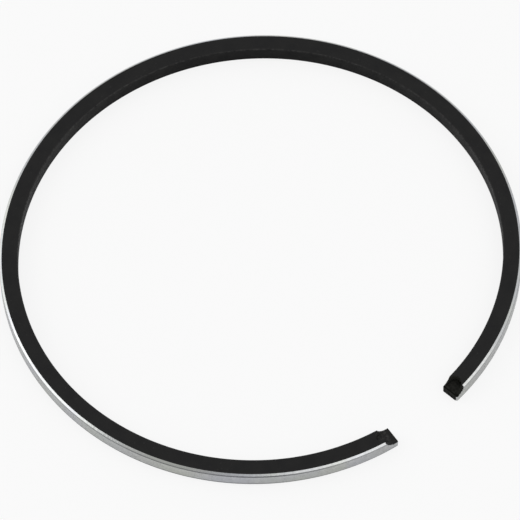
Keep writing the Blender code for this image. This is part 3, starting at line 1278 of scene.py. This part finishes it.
@dataclass(frozen=True)
class GroundChrome:
    """Hard chrome, ground and lapped.

    Attributes:
        base: Colour of the metal.
        dull: Colour of its duller patches.
        warm: Colour of the patches with a greenish tint.
        cool: Colour of the patches with a bluish tint.
        scratch: Painted shade: the darker colour at the bottom of a scratch or a pit.
        edge: Colour of the painted dark reflection: a line between the ground edge and the running face,
            standing in for the dark room that the rounding there mirrors.
        line_top: Depth of that line's top below the flank.
        line_bottom: Depth of its bottom below the flank.
        line_blur: Distance over which it fades.
        line_fade: Distance from either end at which it starts to fade towards that end. Twice as far from
            the end it starts to fade towards the ring's back.
        line_kept: Share of it that stays where it has faded.
        roughness: How much it blurs what it mirrors.
    """

    base: Colour = (0.60, 0.605, 0.60)
    dull: Colour = (0.44, 0.445, 0.445)
    warm: Colour = (0.58, 0.605, 0.54)
    cool: Colour = (0.55, 0.565, 0.63)
    scratch: Colour = (0.25, 0.25, 0.25)
    edge: Colour = (0.075, 0.078, 0.09)
    line_top: float = 0.165 * MM
    line_bottom: float = 0.245 * MM
    line_blur: float = 0.035 * MM
    line_fade: float = 11.0 * MM
    line_kept: float = 0.4
    roughness: float = 0.24

    def material(self, effects: Effects, closed: ClosedRing) -> Material:
        """Build the material.

        Args:
            effects: The shared effects.
            closed: The closed ring.

        Returns:
            The material.
        """
        made = Finish("ground_chrome", effects, self.base, self.roughness)
        patches = made.lines(Length=0.38 * MM, Width=0.9 * MM, Low=0.35, High=0.7)
        bands = made.lines(Length=3.0 * MM, Width=0.2 * MM, Low=0.35, High=0.7)
        fine = made.lines(Length=1.6 * MM, Width=0.014 * MM)
        pits = made.specks(Spacing=0.16 * MM, Radius=0.16, Share=0.2)
        made.tint(patches, share=0.55, other=self.dull)
        made.tint(bands, share=0.25, other=self.dull)
        made.tint(made.grain(Size=5.0 * MM, Low=0.42, High=0.62), share=0.5, other=self.warm)
        made.tint(made.grain(Size=6.5 * MM, Low=0.45, High=0.65), share=0.5, other=self.cool)
        # Painted shade in the pits and the scratches.
        made.tint(pits, share=0.5, other=self.scratch)
        scratches = made.lines(Length=0.9 * MM, Width=0.02 * MM, Low=0.74, High=0.8)
        made.tint(scratches, share=0.4, other=self.scratch)
        # Painted reflection: a dark line under each ground edge, fading towards the ends and the back.
        made.tint(self.painted_dark_reflection(made.graph, made.place, closed), share=0.85, other=self.edge)
        made.roughen(patches, change=0.07)
        made.roughen(fine, change=-0.06)
        made.roughen(pits, change=0.2)
        made.raise_by(patches, height=0.004 * MM)
        made.raise_by(fine, height=0.0007 * MM)
        made.raise_by(pits, height=-0.002 * MM)
        return made.done(Metallic=1.0)

    def painted_dark_reflection(self, graph: Graph, place: Socket, closed: ClosedRing) -> Socket:
        """Mask of the painted dark reflection under each ground edge.

        Args:
            graph: The material's graph.
            place: Where on the ring the surface is.
            closed: The closed ring.

        Returns:
            The mask, which fades at the ends and at the back.
        """
        up = graph.split(place)[2]
        depth = graph.math("MINIMUM", up, graph.math("SUBTRACT", closed.height, up))
        start = graph.remap(depth, self.line_top - self.line_blur, self.line_top)
        stop = graph.remap(depth, self.line_bottom, self.line_bottom + self.line_blur, 1.0, 0.0)
        from_back = graph.math("ABSOLUTE", graph.carried(Attribute.ARC))
        from_end = graph.math("SUBTRACT", closed.half_length, from_back)
        near = graph.remap(from_end, 0.5 * self.line_fade, self.line_fade, self.line_kept)
        far = graph.remap(from_end, 2.0 * self.line_fade, 3.0 * self.line_fade, 1.0, self.line_kept)
        line = graph.math("MULTIPLY", start, stop)
        return graph.math("MULTIPLY", line, graph.math("MULTIPLY", near, far))


def direction(heading: float, elevation: float) -> Vector:
    """Unit vector towards a place in the room.

    Args:
        heading: Its direction from +X, counter-clockwise from above.
        elevation: Its angle above the floor.

    Returns:
        The vector.
    """
    flat = math.cos(elevation)
    return Vector((flat * math.cos(heading), flat * math.sin(heading), math.sin(elevation)))


@dataclass(frozen=True)
class Bearing:
    """Where something in the room lies, as seen from the ring.

    Attributes:
        turn: Its direction from the camera's right hand, counter-clockwise from above, in degrees.
        elevation: Its angle above the floor, in degrees.
    """

    turn: float
    elevation: float

    def towards(self, right_hand: float) -> Vector:
        """Unit vector towards it, given the direction of the camera's right hand from +X."""
        return direction(right_hand + math.radians(self.turn), math.radians(self.elevation))


@dataclass(frozen=True)
class Patch(Bearing):
    """A soft patch of the room that is brighter or darker than the rest.

    Attributes:
        core: Angle from its middle up to which it is full, in degrees.
        rim: Angle from its middle at which it has faded out, in degrees.
        brightness: What it adds to the room's brightness.
    """

    core: float
    rim: float
    brightness: float

    def level(self, graph: Graph, view: Socket, right_hand: float) -> Socket:
        """What it adds to the room's brightness.

        Args:
            graph: The room's graph.
            view: The direction that is looked in.
            right_hand: Direction of the camera's right hand in the frame, from +X.

        Returns:
            The socket with the brightness.
        """
        terms = {0: view, 1: tuple(self.towards(right_hand))}
        facing = graph.add("ShaderNodeVectorMath", terms, operation="DOT_PRODUCT").outputs["Value"]
        rim, core = math.cos(math.radians(self.rim)), math.cos(math.radians(self.core))
        fade = {0: facing, 1: rim, 2: core, 3: 0.0, 4: self.brightness}
        return graph.out("ShaderNodeMapRange", fade, interpolation_type="SMOOTHSTEP")


@dataclass(frozen=True)
class SoftBox(Bearing):
    """A square studio lamp that faces the ring.

    Attributes:
        name: Its name.
        distance: Its distance from the ring.
        side: Length of its sides.
        brightness: Radiance of its face.
    """

    name: str
    distance: float
    side: float
    brightness: float

    def build(self, right_hand: float) -> None:
        """Place the lamp.

        Args:
            right_hand: Direction of the camera's right hand in the frame, from +X.
        """
        lamp = bpy.data.lights.new(self.name, "AREA")
        lamp.shape = "SQUARE"
        lamp.size = self.side
        lamp.energy = self.brightness * math.pi * self.side**2
        item = linked(self.name, lamp)
        towards = self.towards(right_hand)
        item.location = towards * self.distance
        item.rotation_euler = towards.to_track_quat("Z", "Y").to_euler()


@dataclass(frozen=True)
class PhotoCamera:
    """The camera, found by fitting the ring's edges.

    Attributes:
        stands: Direction that it stands in, from +X, counter-clockwise from above.
        elevation: Its angle above the floor.
        distance: Its distance from what it looks at.
        target: The point of the floor that it looks at.
        focus_pixels: Its focal length in pixels of the square picture.
        roll: How far it is turned about its own axis.
        sensor: Width of its sensor.
        nearest: Distance from which it sees.
        farthest: Distance up to which it sees.
    """

    stands: float = math.radians(-129.536)
    elevation: float = math.radians(57.936)
    distance: float = 715.9 * MM
    target: tuple[float, float] = (-0.004 * MM, -0.215 * MM)
    focus_pixels: float = 8104.7
    roll: float = -0.02427
    sensor: float = 36.0
    nearest: float = 0.01
    farthest: float = 20.0

    @property
    def right_hand(self) -> float:
        """Direction of the camera's right hand before it is rolled, from +X."""
        return self.stands + QUARTER_TURN

    def build(self) -> None:
        """Place the camera and make it the scene's."""
        data = bpy.data.cameras.new("photo_camera")
        data.sensor_width = self.sensor
        data.lens = self.sensor * self.focus_pixels / IMAGE_SIDE
        data.clip_start = self.nearest
        data.clip_end = self.farthest
        camera = linked("photo_camera", data)
        back = direction(self.stands, self.elevation)
        level = direction(self.right_hand, 0.0)
        rise = back.cross(level)
        right = level * math.cos(self.roll) + rise * math.sin(self.roll)
        up = rise * math.cos(self.roll) - level * math.sin(self.roll)
        place = Vector((*self.target, 0.0)) + back * self.distance
        turn = Matrix((right, up, back)).transposed().to_4x4()
        camera.matrix_world = Matrix.Translation(place) @ turn
        bpy.context.scene.camera = camera


@dataclass(frozen=True)
class Studio:
    """White table, pale room and two soft lamps.

    Attributes:
        right_hand: Direction of the camera's right hand in the frame, from +X.
        table_side: Length of the table's sides.
        table_colour: Brightness of the table's paper.
        table_shown: Brightness of the table as the camera sees it.
        shadow_kept: Share of the ring's shadow that the camera sees.
        shadow_mirrored: Share of the ring's shadow that metal mirrors.
        room_low: Brightness of the room near the horizon.
        room_high: Brightness of the room overhead.
        patches: Brighter and darker parts of the room.
        boxes: The lamps.
    """

    right_hand: float
    table_side: float = 4.0
    table_colour: float = 0.9
    table_shown: float = 0.985
    shadow_kept: float = 0.15
    shadow_mirrored: float = 0.9
    room_low: float = 0.72
    room_high: float = 0.69
    patches: tuple[Patch, ...] = (
        Patch(-115.0, 14.0, 26.0, 42.0, -0.28),
        Patch(-72.0, 8.0, 16.0, 34.0, -0.45),
        Patch(-63.0, 50.0, 6.0, 20.0, 0.59),
        Patch(18.0, 26.0, 10.0, 30.0, 0.16),
        Patch(150.0, 18.0, 14.0, 28.0, 0.7),
    )
    boxes: tuple[SoftBox, ...] = (
        SoftBox(-178.0, 36.0, "left_box", 0.8, 0.5, 1.14),
        SoftBox(-22.0, 42.0, "right_box", 0.8, 0.6, 0.67),
    )

    def table(self) -> None:
        """Lay the white table top."""
        half = 0.5 * self.table_side
        mesh = bpy.data.meshes.new("table")
        corners = [(-half, -half, 0.0), (half, -half, 0.0), (half, half, 0.0), (-half, half, 0.0)]
        mesh.from_pydata(corners, [], [(0, 1, 2, 3)])
        mesh.materials.append(self.paper())
        item = linked("table", mesh)

    def paper(self) -> Material:
        """White paper that keeps a share of the ring's shadow, one for the camera and one for mirrors.

        Returns:
            The material.
        """
        made = bpy.data.materials.new("white_paper")
        made.use_nodes = True
        graph = Graph(made.node_tree)
        made.node_tree.nodes.remove(made.node_tree.nodes["Principled BSDF"])
        path = graph.add("ShaderNodeLightPath").outputs
        mirrored = graph.math("MAXIMUM", path["Is Glossy Ray"], path["Is Transmission Ray"])
        mirrored = graph.math("MULTIPLY", mirrored, 1.0 - self.shadow_mirrored)
        share = graph.math("MULTIPLY_ADD", path["Is Camera Ray"], 1.0 - self.shadow_kept, mirrored)
        grey = (self.table_colour,) * 3 + (1.0,)
        shown = (self.table_shown,) * 3 + (1.0,)
        matt = graph.out("ShaderNodeBsdfDiffuse", {"Color": grey})
        bright = graph.out("ShaderNodeEmission", {"Color": shown, "Strength": 1.0})
        both = graph.out("ShaderNodeMixShader", {0: share, 1: matt, 2: bright})
        graph.feed(made.node_tree.nodes["Material Output"].inputs["Surface"], both)
        return made

    def room(self) -> None:
        """Set up the room's light, with its brighter and darker parts."""
        world = bpy.data.worlds.new("room")
        world.use_nodes = True
        graph = Graph(world.node_tree)
        shader = world.node_tree.nodes["Background"]
        view = graph.add("ShaderNodeTexCoord").outputs["Generated"]
        level = graph.remap(graph.split(view)[2], 0.0, 1.0, self.room_low, self.room_high)
        for patch in self.patches:
            level = graph.math("ADD", level, patch.level(graph, view, self.right_hand))
        graph.feed(shader.inputs["Strength"], graph.math("MAXIMUM", level, 0.0))
        shader.inputs["Color"].default_value = (1.0, 1.0, 1.0, 1.0)
        bpy.context.scene.world = world

    def build(self) -> None:
        """Set up the table, the room and the lamps."""
        self.table()
        self.room()
        for box in self.boxes:
            box.build(self.right_hand)
            LOG.info("lamp %s placed", box.name)


def main() -> None:
    """Build the ring and the studio round it."""
    logging.basicConfig(level=logging.INFO, format="%(name)s: %(message)s")
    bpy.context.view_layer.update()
    effects = Effects()
    plan = CompressionRing()
    coats = {
        "Black": BlackPhosphate(),
        "Upright": UPRIGHT_COAT_PAINTED_SHADE,
        "Left Pocket": LEFT_POCKET_PAINTED_LIGHT,
        "Right Pocket": RIGHT_POCKET_PAINTED_SHADE,
    }
    finishes = {label: coat.material(effects, plan.closed.half_length) for label, coat in coats.items()}
    finishes["Plated"] = GroundChrome().material(effects, plan.closed)
    ring = plan.build(finishes)
    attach(ring, BODY)
    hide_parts(NODE)
    LOG.info("%s built with %d faces", ring.name, len(ring.data.polygons))
    camera = PhotoCamera()
    camera.build()
    Studio(camera.right_hand).build()
    bpy.context.scene.view_settings.view_transform = "Standard"


if __name__ == "__main__":
    main()
